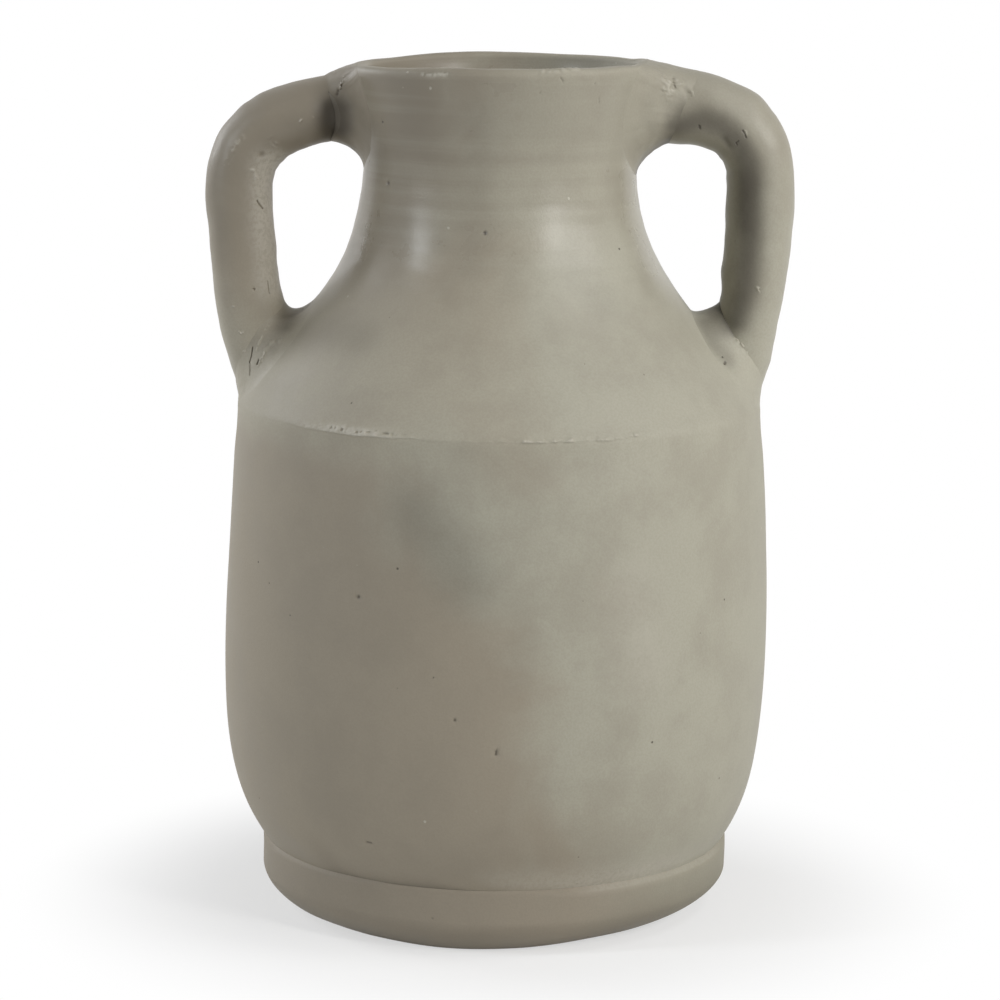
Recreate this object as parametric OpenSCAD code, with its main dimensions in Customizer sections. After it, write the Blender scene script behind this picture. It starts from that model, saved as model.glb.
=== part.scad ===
// Two-handled clay vase, thrown in two halves and luted together.
// A foot band and a floor disc carry the drum. The shoulder and neck are one funnel set on the drum,
// with a bead of clay pressed into the join. Each handle is a bent clay roll, butted against the neck
// and the shoulder, with a wad of clay pressed round either end.
// Z is up, the vase stands on Z = 0 and its axis is the Z axis. The handles lie along X.

/* [Overall] */
// Height of the crest of the lip above the table
total_h = 305; // [295:1:325]

/* [Foot] */
// Outer radius of the foot band
foot_r = 84.8; // [82:0.1:90]
// Height of the foot band
foot_h = 23.2; // [20:0.1:28]
// How far the ring that stands on the table lies in from the side of the foot band
stand_in = 16.3; // [11:0.1:19]
// Width of the ring that stands on the table, with its rounded inner edge
stand_w = 10.5; // [7:0.1:16]
// Height of the rounded lower edge of the foot band
foot_round_h = 13; // [9:0.5:15]
// Radius of the rounded inner edge of the standing ring
hollow_round = 2.5; // [1:0.1:4]
// Rounding of the upper edge of the foot band
foot_top_round = 1.2; // [0.6:0.1:2]
// Thickness of the floor disc
floor_t = 11; // [8:0.5:14]
// Width of the foot band outside the rebate that the floor disc lies in
rebate_in = 6.8; // [5:0.1:9]

/* [Drum] */
// Largest outer radius of the drum
belly_r = 98.2; // [95:0.1:104]
// Level of that largest radius
belly_z = 92; // [80:1:105]
// Set-back of the drum's lower edge from the foot band
crease_back = 0.6; // [0.3:0.1:1.5]
// Angle at which the drum leaves the foot band, from upright
drum_flare = 26; // [15:1:35]
// Wall thickness at the belly
drum_wall = 8; // [6:0.1:11]
// Wall thickness at the drum's lower edge
drum_low_wall = 10; // [8.5:0.1:13]

/* [Shoulder and neck] */
// Level of the join between drum and shoulder
seam_z = 183.5; // [176:0.5:192]
// Outer radius at the join
seam_r = 93.8; // [91:0.1:97]
// Width of the joined faces, from inside to outside
seam_wall = 11; // [9:0.1:14]
// Steepness of the shoulder where it leaves the join, from level
shoulder_slope = 58; // [54:1:62]
// Outer radius of the narrowest part of the neck
throat_r = 48.6; // [45:0.1:54]
// Level of the narrowest part of the neck
throat_z = 269; // [262:1:276]
// Wall thickness at the narrowest part of the neck
neck_wall = 7.5; // [5:0.1:10]
// Outer radius of the lip
lip_r = 53.4; // [51:0.1:57]
// Thickness of the lip
lip_t = 6; // [4:0.1:8]

/* [Seam bead] */
// Depth of the groove that the bead fills
groove_d = 3.2; // [2:0.1:5]
// Half the height of the groove at the surface
groove_h = 2; // [1.2:0.1:3]
// How far the bead stands out of the corner of the join
bead_proud = 0.9; // [0.4:0.1:1.8]

/* [Handles] */
// How far the handles reach out past the join between drum and shoulder
handle_out = 11.2; // [7:0.1:20]
// Thickness of a handle's upright leg
leg_t = 23.4; // [18:0.1:27]
// Thickness of a handle at its root on the shoulder
root_t = 25.5; // [20:0.1:28]
// Depth of a handle from front to back
handle_depth = 26.5; // [20:0.5:32]
// Squareness of a handle's section, where 2 is an ellipse
section_power = 2.4; // [2:0.1:3.2]
// Thickness of the left handle's arm at the neck
left_arm_t = 24.2; // [20:0.1:27]
// Thickness of the right handle's arm at the neck
right_arm_t = 26.8; // [20:0.1:28]
// Depth below the crest of the lip at which the left arm leaves the neck
left_arm_drop = 14.8; // [14:0.1:20]
// Depth below the crest of the lip at which the right arm leaves the neck
right_arm_drop = 15.6; // [15:0.1:20]
// Slope of the left arm, falling outwards
left_arm_dip = 11; // [5:0.5:16]
// Slope of the right arm, falling outwards
right_arm_dip = 3.5; // [2:0.5:12]
// Depth below the crest of the lip at which a handle reaches out furthest
elbow_drop = 49; // [44:1:56]
// Lean of a leg towards the axis where it lands on the shoulder
root_lean = 24; // [18:1:30]
// Distance from the join's edge in to the middle of a leg's root
root_in = 15.5; // [13:0.5:19]

/* [Root wads] */
// Spread of a wad over the neck
neck_wad_w = 11; // [6:0.5:13]
// Climb of a wad along the arm
neck_wad_h = 12; // [6:0.5:15]
// Spread of a wad over the shoulder
shoulder_wad_w = 12; // [6:0.5:14]
// Climb of a wad along the leg
shoulder_wad_h = 17; // [8:0.5:20]
// Thickness of a wad's smeared edge
wad_edge = 1; // [0.6:0.1:1.6]
// Half the angle that a wad goes round its handle
wad_span = 125; // [90:5:135]

/* [Fit] */
// Film of slip between pieces that are pressed together
slip = 0.1; // [0.05:0.01:0.2]

/* [Hidden] */
$fn = 96;

clay = [0.58, 0.55, 0.49];
wet_clay = [0.63, 0.61, 0.55];
handle_clay = [0.54, 0.51, 0.45];

// Steps along one stretch of a curve, round a small edge, round the lip and along the bead
curve_steps = 12;
edge_steps = 4;
lip_steps = 8;
bead_steps = 6;
// Sides of a handle's section, rings along a handle and rings across its seat
handle_sides = 24;
handle_rings = 34;
seat_rings = 3;
// Steps round a wad and along its hollow face
wad_steps = 24;
wad_face_steps = 4;
// Halvings that find where a handle meets the wall
seat_halvings = 26;
// How strongly each end of a curve holds its direction, as a share of the stretch that it spans
foot_pull = 0.2;
belly_low_pull = 0.7;
belly_high_pull = 0.45;
seam_pull = 0.3;
shoulder_pull = 0.365;
throat_pull = 0.487;
neck_pull = 0.35;
lip_flare = 0.05;
arm_pull = 0.78;
leg_pull = 0.29;
root_pull = 0.42;
edge_pull = 1 / 3;
corner_pull = 2 / 3;
// Shape of the foot band's rounded lower edge
stand_pull = [0.4, 0.22];
foot_side_pull = 0.6;

stand_r = foot_r - stand_in;
hollow_r = stand_r - stand_w;
floor_r = foot_r - rebate_in;
crease_r = foot_r - crease_back;
floor_z = foot_h - floor_t;
lip_z = total_h - lip_t / 2;
shoulder_start = [seam_r - groove_h / tan(shoulder_slope), seam_z + groove_h];

// Curves of the vessel, as points [radius, height]

function mix(a, b, s) = a + (b - a) * s;
function ease(s) = s * s * (3 - 2 * s);
function bezier(p, s) =
    pow(1 - s, 3) * p[0] + 3 * s * pow(1 - s, 2) * p[1] + 3 * s * s * (1 - s) * p[2] + pow(s, 3) * p[3];
function bezier_slope(p, s) =
    3 * pow(1 - s, 2) * (p[1] - p[0]) + 6 * s * (1 - s) * (p[2] - p[1]) + 3 * s * s * (p[3] - p[2]);
function curve(p, steps, first = 0) = [for (i = [first : steps]) bezier(p, i / steps)];
function backwards(list) = [for (i = [len(list) - 1 : -1 : 0]) list[i]];

// The side of the drum, set in by one amount at its foot, one at its belly and one at the join
function drum_side(low_in, belly_in, top) =
    let (
        foot = [crease_r - low_in, foot_h],
        belly = [belly_r - belly_in, belly_z],
        low_rise = belly_z - foot_h,
        high_rise = seam_z - belly_z
    )
    concat(
        curve([
            foot,
            foot + foot_pull * low_rise * [sin(drum_flare), cos(drum_flare)],
            belly - [0, belly_low_pull * low_rise],
            belly
        ], curve_steps),
        curve([
            belly,
            belly + [0, belly_high_pull * high_rise],
            top + seam_pull * [belly_r - seam_r, -high_rise],
            top
        ], curve_steps, 1)
    );

// The side of the shoulder and neck, from the join up to the lip
function shoulder_side(low, throat, lip) =
    let (
        rise = throat_z - seam_z,
        lip_rise = lip_z - throat_z
    )
    concat(
        curve([
            low,
            low + shoulder_pull * rise * [-cos(shoulder_slope), sin(shoulder_slope)],
            throat - [0, throat_pull * rise],
            throat
        ], curve_steps),
        curve([
            throat,
            throat + [0, neck_pull * lip_rise],
            lip - lip_rise * [lip_flare, neck_pull],
            lip
        ], curve_steps / 2, 1)
    );

drum_outside = drum_side(0, 0, [seam_r, seam_z - groove_h]);
drum_inside = drum_side(drum_low_wall, drum_wall, [seam_r - seam_wall, seam_z]);
neck_outside = shoulder_side(shoulder_start, [throat_r, throat_z], [lip_r, lip_z]);
neck_inside = shoulder_side(
    [seam_r - seam_wall, seam_z], [throat_r - neck_wall, throat_z], [lip_r - lip_t, lip_z]
);
lip_crest = [
    for (i = [1 : lip_steps - 1])
        [lip_r - lip_t / 2, lip_z] + lip_t / 2 * [cos(180 * i / lip_steps), sin(180 * i / lip_steps)]
];
bead_pull = [seam_r + 2 * bead_proud, seam_z];
bead_face = curve([
    [seam_r, seam_z - groove_h],
    mix([seam_r, seam_z - groove_h], bead_pull, corner_pull),
    mix(shoulder_start, bead_pull, corner_pull),
    shoulder_start
], bead_steps);
groove_floor = [seam_r - groove_d, seam_z];

// The whole outer skin, as a table of radius by height, which the handles and wads are seated on
skin = [
    for (p = concat(drum_outside, bead_face, neck_outside, lip_crest))
        if (p.x >= lip_r - lip_t / 2 || p.y < lip_z)
            [p.y, p.x]
];
function skin_r(z) = lookup(z, skin);
function clear_of_skin(p) = norm([p.x, p.y]) - skin_r(p.z);

// Handles. A handle is described by its arm: [thickness, drop below the lip's crest, slope].
// Its middle line runs from s = 0 inside the neck, through the elbow at s = 1, to s = 2 inside the shoulder.

left_shape = [left_arm_t, left_arm_drop, left_arm_dip];
right_shape = [right_arm_t, right_arm_drop, right_arm_dip];
leg_x = seam_r + handle_out - leg_t / 2;
elbow = [leg_x, total_h - elbow_drop];
root = [seam_r - root_in, seam_z + groove_h];

function arm_line(shape) =
    let (
        start = [throat_r - neck_wall / 2, total_h - shape[1]],
        reach = leg_x - start.x
    )
    [
        start,
        start + arm_pull * reach * [cos(shape[2]), -sin(shape[2])],
        elbow + [0, arm_pull * (start.y - elbow.y)],
        elbow
    ];
leg_line = [
    elbow,
    elbow - [0, leg_pull * (elbow.y - root.y)],
    root + root_pull * (elbow.y - root.y) * [sin(root_lean), cos(root_lean)],
    root
];
function middle(shape, s) = s < 1 ? bezier(arm_line(shape), s) : bezier(leg_line, s - 1);
function travel(shape, s) = s < 1 ? bezier_slope(arm_line(shape), s) : bezier_slope(leg_line, s - 1);
function half_thickness(shape, s) =
    (s < 1 ? mix(shape[0], leg_t, ease(s)) : mix(leg_t, root_t, ease(s - 1))) / 2;
function rounded(v) = sign(v) * pow(abs(v), 2 / section_power);

// A point of the handle's surface: angle 0 is the outer side and 180 the side towards the gap.
// fill shrinks the section towards its middle and grow widens it.
function handle_point(shape, angle, s, fill = 1, grow = 0) =
    let (
        centre = middle(shape, s),
        along = travel(shape, s) / norm(travel(shape, s)),
        out = (half_thickness(shape, s) * fill + grow) * rounded(cos(angle)),
        side = (handle_depth / 2 * fill + grow) * rounded(sin(angle))
    )
    [centre.x - out * along.y, side, centre.y + out * along.x];

// Where a line along the handle meets the wall, between a place outside the wall and one inside it
function seat(shape, angle, fill, grow, outside, inside, left = seat_halvings) =
    let (s = (outside + inside) / 2)
    left == 0 ? outside :
    clear_of_skin(handle_point(shape, angle, s, fill, grow)) > slip
        ? seat(shape, angle, fill, grow, s, inside, left - 1)
        : seat(shape, angle, fill, grow, outside, s, left - 1);
function neck_seat(shape, angle, fill = 1, grow = 0) = seat(shape, angle, fill, grow, 0.6, 0);
function shoulder_seat(shape, angle, fill = 1, grow = 0) = seat(shape, angle, fill, grow, 1.4, 2);

// A closed skin over a row of loops, each end filled by a fan from its middle
module skin_over(loops) {
    sides = len(loops[0]);
    last = len(loops) - 1;
    start_middle = sides * len(loops);
    end_middle = start_middle + 1;
    all_points = concat(
        [for (loop = loops) each loop],
        [loop_middle(loops[0]), loop_middle(loops[last])]
    );
    all_faces = concat(
        [for (i = [0 : last - 1], j = [0 : sides - 1])
            let (a = i * sides + j, b = i * sides + (j + 1) % sides)
            each [[a, b, b + sides], [a, b + sides, a + sides]]
        ],
        [for (j = [0 : sides - 1]) [start_middle, (j + 1) % sides, j]],
        [for (j = [0 : sides - 1])
            [end_middle, last * sides + j, last * sides + (j + 1) % sides]
        ]
    );
    polyhedron(all_points, all_faces);
}
function loop_middle(loop) = [for (p = loop) 1] * loop / len(loop);

// One handle on the +X side: rings from the neck to the shoulder, with seats that follow the wall
module handle(shape) {
    angles = [for (j = [0 : handle_sides - 1]) 360 * j / handle_sides];
    fills = [for (i = [1 : seat_rings - 1]) i / seat_rings];
    neck_ends = [for (angle = angles) neck_seat(shape, angle)];
    shoulder_ends = [for (angle = angles) shoulder_seat(shape, angle)];
    skin_over(concat(
        [for (fill = fills)
            [for (angle = angles) handle_point(shape, angle, neck_seat(shape, angle, fill), fill)]
        ],
        [for (i = [0 : handle_rings])
            [for (j = [0 : handle_sides - 1])
                handle_point(shape, angles[j], mix(neck_ends[j], shoulder_ends[j], i / handle_rings))
            ]
        ],
        [for (fill = backwards(fills))
            [for (angle = angles)
                handle_point(shape, angle, shoulder_seat(shape, angle, fill), fill)
            ]
        ]
    ));
}

// A point of a wad: grow away from the handle and lift off the wall, along the handle
function wad_point(shape, angle, at_neck, grow, lift) =
    let (
        wall_s = at_neck ? neck_seat(shape, angle, 1, grow) : shoulder_seat(shape, angle, 1, grow),
        step = lift / norm(travel(shape, wall_s))
    )
    handle_point(shape, angle, at_neck ? wall_s + step : wall_s - step, 1, grow);

// One wad: a horseshoe of clay pressed into the corner between a handle and the wall
module wad(shape, at_neck, spread, climb) {
    loops = [
        for (i = [0 : wad_steps])
            let (
                turn = 2 * i / wad_steps - 1,
                angle = 180 + wad_span * turn,
                swell = sqrt(max(0, 1 - turn * turn)),
                width = mix(2 * wad_edge, spread, swell),
                height = mix(2 * wad_edge, climb, swell),
                top = wad_point(shape, angle, at_neck, slip + wad_edge, height),
                corner = wad_point(shape, angle, at_neck, slip + wad_edge, wad_edge),
                toe = wad_point(shape, angle, at_neck, width, wad_edge)
            )
            concat(
                [
                    wad_point(shape, angle, at_neck, slip, 0),
                    wad_point(shape, angle, at_neck, slip, height / 2),
                    wad_point(shape, angle, at_neck, slip, height)
                ],
                curve([top, mix(top, corner, corner_pull), mix(toe, corner, corner_pull), toe], wad_face_steps),
                [
                    wad_point(shape, angle, at_neck, width, 0),
                    wad_point(shape, angle, at_neck, width / 2, 0)
                ]
            )
    ];
    skin_over(at_neck ? loops : backwards(loops));
}

// The pieces

// Ring that the vase stands on, with a rebate for the floor and a broad rounded lower edge
module foot_band() {
    color(clay)
    rotate_extrude()
    polygon(concat(
        curve([
            [stand_r, 0],
            [mix(stand_r, foot_r, stand_pull.x), foot_round_h * stand_pull.y],
            [foot_r, foot_round_h * foot_side_pull],
            [foot_r, foot_round_h]
        ], curve_steps),
        curve([
            [foot_r, foot_h - foot_top_round],
            [foot_r, foot_h - foot_top_round * edge_pull],
            [foot_r - foot_top_round * edge_pull, foot_h],
            [foot_r - foot_top_round, foot_h]
        ], edge_steps),
        [[floor_r, foot_h], [floor_r, floor_z], [hollow_r, floor_z]],
        curve([
            [hollow_r, hollow_round],
            [hollow_r, hollow_round * edge_pull],
            [hollow_r + hollow_round * edge_pull, 0],
            [hollow_r + hollow_round, 0]
        ], edge_steps)
    ));
}

// Flat disc that closes the bottom, laid in the rebate under the drum's edge
module floor_disc() {
    color(clay)
    translate([0, 0, floor_z])
    cylinder(h = floor_t, r = floor_r - slip);
}

// Thrown lower half: stands on the foot band and holds the floor's rim down
module body_drum() {
    color(clay)
    rotate_extrude()
    polygon(concat(drum_outside, [groove_floor], backwards(drum_inside)));
}

// Roll of clay pressed into the groove between the two halves
module seam_bead() {
    color(wet_clay)
    rotate_extrude()
    polygon(concat([groove_floor], bead_face));
}

// Thrown upper half: shoulder, neck and rounded lip in one wall
module shoulder_and_neck() {
    color(clay)
    rotate_extrude()
    polygon(concat([groove_floor], neck_outside, lip_crest, backwards(neck_inside)));
}

module left_handle() {
    color(handle_clay)
    mirror([1, 0, 0])
    handle(left_shape);
}

module right_handle() {
    color(handle_clay)
    handle(right_shape);
}

module left_neck_wad() {
    color(wet_clay)
    mirror([1, 0, 0])
    wad(left_shape, true, neck_wad_w, neck_wad_h);
}

module left_shoulder_wad() {
    color(wet_clay)
    mirror([1, 0, 0])
    wad(left_shape, false, shoulder_wad_w, shoulder_wad_h);
}

module right_neck_wad() {
    color(wet_clay)
    wad(right_shape, true, neck_wad_w, neck_wad_h);
}

module right_shoulder_wad() {
    color(wet_clay)
    wad(right_shape, false, shoulder_wad_w, shoulder_wad_h);
}

foot_band();
floor_disc();
body_drum();
seam_bead();
shoulder_and_neck();
left_handle();
right_handle();
left_neck_wad();
left_shoulder_wad();
right_neck_wad();
right_shoulder_wad();
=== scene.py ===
import math
from bisect import bisect_left

import bmesh
import bpy
from mathutils import Matrix, Vector, noise
from mathutils.bvhtree import BVHTree
from mathutils.geometry import interpolate_bezier


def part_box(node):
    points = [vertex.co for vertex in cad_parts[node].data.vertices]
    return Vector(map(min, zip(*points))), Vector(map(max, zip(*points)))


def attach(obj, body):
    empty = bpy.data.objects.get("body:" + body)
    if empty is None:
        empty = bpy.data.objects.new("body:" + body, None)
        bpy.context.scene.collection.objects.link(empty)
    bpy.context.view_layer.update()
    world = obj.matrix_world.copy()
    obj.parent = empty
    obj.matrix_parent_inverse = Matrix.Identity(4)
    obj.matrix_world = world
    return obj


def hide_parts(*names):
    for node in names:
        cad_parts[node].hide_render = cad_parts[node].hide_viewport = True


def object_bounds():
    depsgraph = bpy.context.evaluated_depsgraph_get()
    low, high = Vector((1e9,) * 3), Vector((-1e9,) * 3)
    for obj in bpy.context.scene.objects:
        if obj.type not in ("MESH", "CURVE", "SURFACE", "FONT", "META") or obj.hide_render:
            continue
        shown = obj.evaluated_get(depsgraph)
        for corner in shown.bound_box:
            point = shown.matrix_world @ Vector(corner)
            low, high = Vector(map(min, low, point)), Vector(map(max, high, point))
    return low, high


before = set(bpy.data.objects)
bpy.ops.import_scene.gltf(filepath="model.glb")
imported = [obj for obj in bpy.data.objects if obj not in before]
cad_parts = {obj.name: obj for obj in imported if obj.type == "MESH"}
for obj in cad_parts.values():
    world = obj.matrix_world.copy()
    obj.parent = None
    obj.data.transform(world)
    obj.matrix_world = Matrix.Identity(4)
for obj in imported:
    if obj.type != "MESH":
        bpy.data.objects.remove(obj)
cad_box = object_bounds()
mm = 0.001

# Foot band
# A thick ring of clay that carries the vase, thrown on its own and luted under the drum while soft.
# Its lower edge is sponged round, and it is hollow inside, so that only a ring touches the table.
foot_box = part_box("foot_band")
foot_r = foot_box[1].x
foot_h = foot_box[1].z
foot_round_h = 13 * mm
foot_edge = 1.6 * mm
crease_z = foot_h + 1.4 * mm
stand_r = foot_r - 16.3 * mm
hollow_r = stand_r - 10.5 * mm
hollow_edge = 2.5 * mm
rebate_r = foot_r - 6.8 * mm
rebate_z = foot_h - 11 * mm
hair = 0.1 * mm
least_bevel = 0.4 * mm
bevel_slope = 1.6
bevel_curve = 1.3
foot_shade = 0.36
# By the side in degrees: mm pared off the upper edge, painted light on the bevel, squareness of the lower
# edge, painted shade
pared = (
    (-180, 0.9), (-85, 0.4), (-65, 1.1), (-40, 1.0), (-24, 0.3),
    (2, 0.3), (26, 1.7), (72, 1.7), (92, 0.6), (180, 0.9),
)
bevel_painted_light = ((-80, 0), (-62, 0.25), (-42, 0.25), (-25, 0), (12, 0), (28, 0.4), (66, 0.4), (88, 0))
squarer = ((-130, 0), (-80, 0.4), (-45, 0.2), (-10, 0.35), (32, 0))
shaded = ((4, 0), (42, 1), (70, 1), (90, 0.5))


def at(radius, height):
    """A point of an outline, by its distance from the axis and its height."""
    return Vector((radius, 0, height))


def sweep(start, leaving, arriving, end, steps):
    """Points along one smooth stretch of an outline, with a pull at either end."""
    return interpolate_bezier(start, start + leaving, end + arriving, end, steps + 1)


def turned(outline, steps):
    """The solid that an outline leaves when it is turned once round on the wheel."""
    bm = bmesh.new()
    corners = [bm.verts.new(point) for point in outline]
    sides = [bm.edges.new(pair) for pair in zip(corners, corners[1:] + corners[:1])]
    bmesh.ops.spin(
        bm,
        geom=corners + sides,
        cent=(0, 0, 0),
        axis=(0, 0, 1),
        angle=math.tau,
        steps=steps,
        use_merge=True,
    )
    bmesh.ops.remove_doubles(bm, verts=bm.verts, dist=0.01 * mm)
    bmesh.ops.recalc_face_normals(bm, faces=bm.faces)
    bm.normal_update()
    return bm


def ease(low, high, value):
    """0 below low, 1 above high, and a smooth rise between."""
    share = min(1, max(0, (value - low) / (high - low)))
    return share * share * (3 - 2 * share)


def through(pairs, place):
    """A value that passes smoothly through pairs of a place and an amount."""
    for (low, first), (high, second) in zip(pairs, pairs[1:]):
        if place < high:
            return first + (second - first) * ease(low, high, place)
    return pairs[-1][1]


def azimuth(place):
    """The side of the vase that a place is on, in degrees: 0 at the front and 90 at the right."""
    return math.degrees(math.atan2(place.x, -place.y))


def outward(place, amount):
    """A step straight away from the axis."""
    return Vector((place.x, place.y, 0)).normalized() * amount


def knead(bm, depth, span, seed):
    """Press soft hollows and swellings into a surface."""
    away = Vector((seed * 7.3, seed * 3.1, seed * 5.7))
    bm.normal_update()
    for vert in bm.verts:
        vert.co += vert.normal * depth * noise.noise(vert.co / span + away)


def bell(place, centre, spread):
    """1 at a centre, and a smooth fall to 0 on either side of it."""
    return math.exp(-(((place - centre) / spread) ** 2))


def sag(bm):
    """Lean and sink the true shape a little, as soft clay does before it is fired."""
    for vert in bm.verts:
        x, y, z = vert.co
        drum_lean = 0.5 * bell(z, 150 * mm, 45 * mm) - 0.6 * bell(z, 60 * mm, 28 * mm)
        foot_lean = 0.4 * bell(z, 21 * mm, 8 * mm)
        on_neck = ease(80 * mm, 68 * mm, abs(x))
        shoulder_lean = 0.4 * bell(z, 228 * mm, 14 * mm) * on_neck
        throat_lean = 0.5 * bell(z, 252 * mm, 13 * mm) * on_neck * ease(0, 30 * mm, -x)
        lean = drum_lean + foot_lean + shoulder_lean - throat_lean
        on_lip = ease(284 * mm, 303 * mm, z)
        right_rise = 0.9 * on_lip * ease(46 * mm, 53 * mm, x) * ease(66 * mm, 56 * mm, x)
        left_sink = 1.5 * on_lip * ease(12 * mm, 50 * mm, -x)
        vert.co = Vector((x + lean * mm, y, z + (right_rise - left_sink) * mm))


def clay_tone(red, green, blue):
    """A colour judged from 0 to 255, as the light value that a shader takes."""
    return tuple(((part / 255 + 0.055) / 1.055) ** 2.4 for part in (red, green, blue)) + (1,)


def shader_node(tree, kind, values, **settings):
    """A new node of a material, with its sockets set to values or joined to other nodes."""
    node = tree.nodes.new(kind)
    for setting, value in settings.items():
        setattr(node, setting, value)
    for socket, value in values.items():
        if isinstance(value, bpy.types.NodeSocket):
            tree.links.new(value, node.inputs[socket])
        else:
            node.inputs[socket].default_value = value
    return node


def fired_clay(name, warm, cool, rough, wiped):
    """Unglazed fired clay: warm and darker on the left, cool and lighter on the right, part tone and part
    painted light; painted light on the shoulder, painted shade on the neck; cloudy, with pinholes, grit and
    a dull sheen.
    """
    finish = bpy.data.materials.new(name)
    finish.use_nodes = True
    tree = finish.node_tree
    shader = tree.nodes["Principled BSDF"]
    shader.inputs["Specular IOR Level"].default_value = 0.35
    place = shader_node(tree, "ShaderNodeTexCoord", {}).outputs["Object"]

    def moved(shift, stretch):
        values = {"Vector": place, "Location": shift, "Scale": stretch}
        return shader_node(tree, "ShaderNodeMapping", values).outputs["Vector"]

    def cloud(source, scale, detail, roughness, distortion=0.0):
        values = {"Vector": source, "Scale": scale, "Detail": detail, "Roughness": roughness}
        values["Distortion"] = distortion
        return shader_node(tree, "ShaderNodeTexNoise", values).outputs[0]

    def ranged(value, low, high, to_low, to_high):
        values = {"Value": value, "From Min": low, "From Max": high, "To Min": to_low, "To Max": to_high}
        node = shader_node(tree, "ShaderNodeMapRange", values, interpolation_type="SMOOTHSTEP")
        return node.outputs["Result"]

    def reckoned(kind, first, second):
        return shader_node(tree, "ShaderNodeMath", {0: first, 1: second}, operation=kind).outputs["Value"]

    def times(first, second):
        return reckoned("MULTIPLY", first, second)

    def plus(first, second):
        return reckoned("ADD", first, second)

    def blended(share, first, second):
        node = shader_node(tree, "ShaderNodeMix", {0: share, 6: first, 7: second}, data_type="RGBA")
        return node.outputs[2]

    def specks(shift, scale, size, rarity):
        values = {"Vector": moved(shift, (1, 1, 1)), "Scale": scale}
        cells = shader_node(tree, "ShaderNodeTexVoronoi", values)
        draw = shader_node(tree, "ShaderNodeSeparateColor", {"Color": cells.outputs["Color"]})
        chosen = ranged(draw.outputs[0], rarity, rarity + 0.03, 0, 1)
        return times(chosen, ranged(cells.outputs["Distance"], size * 0.5, size, 1, 0))

    # Warm and darker on the left, cool and lighter on the right, along a border that leans and drifts: part
    # the clay's own tone, part painted light on the lamps' side and painted shade on the other
    split = shader_node(tree, "ShaderNodeSeparateXYZ", {"Vector": place})
    height = split.outputs["Z"]
    clouds = cloud(place, 34, 6, 0.62)
    drift = times(cloud(place, 13, 4, 0.55, 0.5), 0.17)
    leaning = times(reckoned("MINIMUM", height, 0.17), 0.45)
    cool_side_and_painted_light = ranged(plus(plus(split.outputs["X"], leaning), drift), 0.125, 0.18, 0, 1)

    # Painted light over the upward-facing shoulder and painted shade over the upper neck, both weaker on
    # the lit right side
    level = plus(height, times(drift, 0.2))
    shoulder_painted_light = times(ranged(level, 0.186, 0.2, 0, 0.44), ranged(level, 0.213, 0.262, 1, 0))
    shoulder_painted_light = times(shoulder_painted_light, ranged(cool_side_and_painted_light, 0, 1, 1, 0.4))
    neck_painted_shade = ranged(plus(height, drift), 0.317, 0.373, 0, 1)
    neck_painted_shade = times(neck_painted_shade, ranged(cool_side_and_painted_light, 0, 1, 1, 0.36))

    # Wiping rings from the shoulder up, then the grain, pinholes and grit of the clay
    thrown = ranged(height, 0.205, 0.24, 0.1, wiped)
    wipes = times(cloud(moved((3, 1, 0), (5, 5, 150)), 1, 4, 0.6), thrown)
    grain = cloud(place, 1300, 3, 0.6)
    pinholes = specks((0.3, 0.1, 0.2), 240, 0.13, 0.965)
    grit = specks((0.7, 0.4, 0.9), 170, 0.11, 0.965)

    # The wear layer holds pale scuffs and painted light above 0, and dark cracks and painted shade below
    wear_and_painted_light = shader_node(tree, "ShaderNodeAttribute", {}, attribute_name="wear_and_painted_light").outputs["Fac"]
    broken = ranged(cloud(place, 700, 4, 0.7), 0.35, 0.6, 0.6, 1)
    scuffs_and_painted_light = times(ranged(wear_and_painted_light, 0.05, 1, 0, 1), broken)
    cracks_and_painted_shade = ranged(wear_and_painted_light, -1, -0.05, 1, 0)

    dark = tuple(0.74 * part for part in warm[:3]) + (1,)
    light = tuple(1.2 * part for part in cool[:3]) + (1,)
    colour = blended(cool_side_and_painted_light, warm, cool)
    washes = (
        (shoulder_painted_light, light),
        (neck_painted_shade, dark),
        (ranged(clouds, 0.34, 0.62, 0.3, 0), dark),
        (ranged(wipes, 0.46, 0.74, 0, 0.2), light),
        (ranged(grain, 0.35, 0.65, 0.16, 0), dark),
        (times(grit, 0.55), clay_tone(205, 201, 188)),
        (times(scuffs_and_painted_light, 0.7), clay_tone(203, 198, 186)),
        (times(pinholes, 0.75), clay_tone(66, 60, 50)),
        (times(cracks_and_painted_shade, 0.75), clay_tone(60, 54, 45)),
    )
    for share, tone in washes:
        colour = blended(share, colour, tone)
    tree.links.new(colour, shader.inputs["Base Color"])

    # The wiped neck is smoother than the rest, but not the crest of its lip
    below_lip = ranged(height, 0.3, 0.304, 0.28, 0)
    polish = times(ranged(thrown, 0.1, 1, 0, 1), below_lip)
    roughness = reckoned("SUBTRACT", ranged(clouds, 0.3, 0.7, rough - 0.05, rough + 0.09), polish)
    tree.links.new(roughness, shader.inputs["Roughness"])

    relief = times(wipes, 0.36)
    for layer, rise in ((grain, 0.22), (clouds, 0.6), (pinholes, -1), (grit, 0.4), (scuffs_and_painted_light, 0.5)):
        relief = plus(relief, times(layer, rise))
    bump = shader_node(tree, "ShaderNodeBump", {"Strength": 1, "Distance": 0.22 * mm, "Height": relief})
    tree.links.new(bump.outputs["Normal"], shader.inputs["Normal"])
    return finish


def fired(name, bm, finish, node):
    """One finished piece of clay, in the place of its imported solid."""
    mesh = bpy.data.meshes.new(name)
    bm.to_mesh(mesh)
    bm.free()
    mesh.shade_smooth()
    mesh.materials.append(finish)
    piece = bpy.data.objects.new(name, mesh)
    bpy.context.scene.collection.objects.link(piece)
    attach(piece, "root")
    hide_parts(node)


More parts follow.
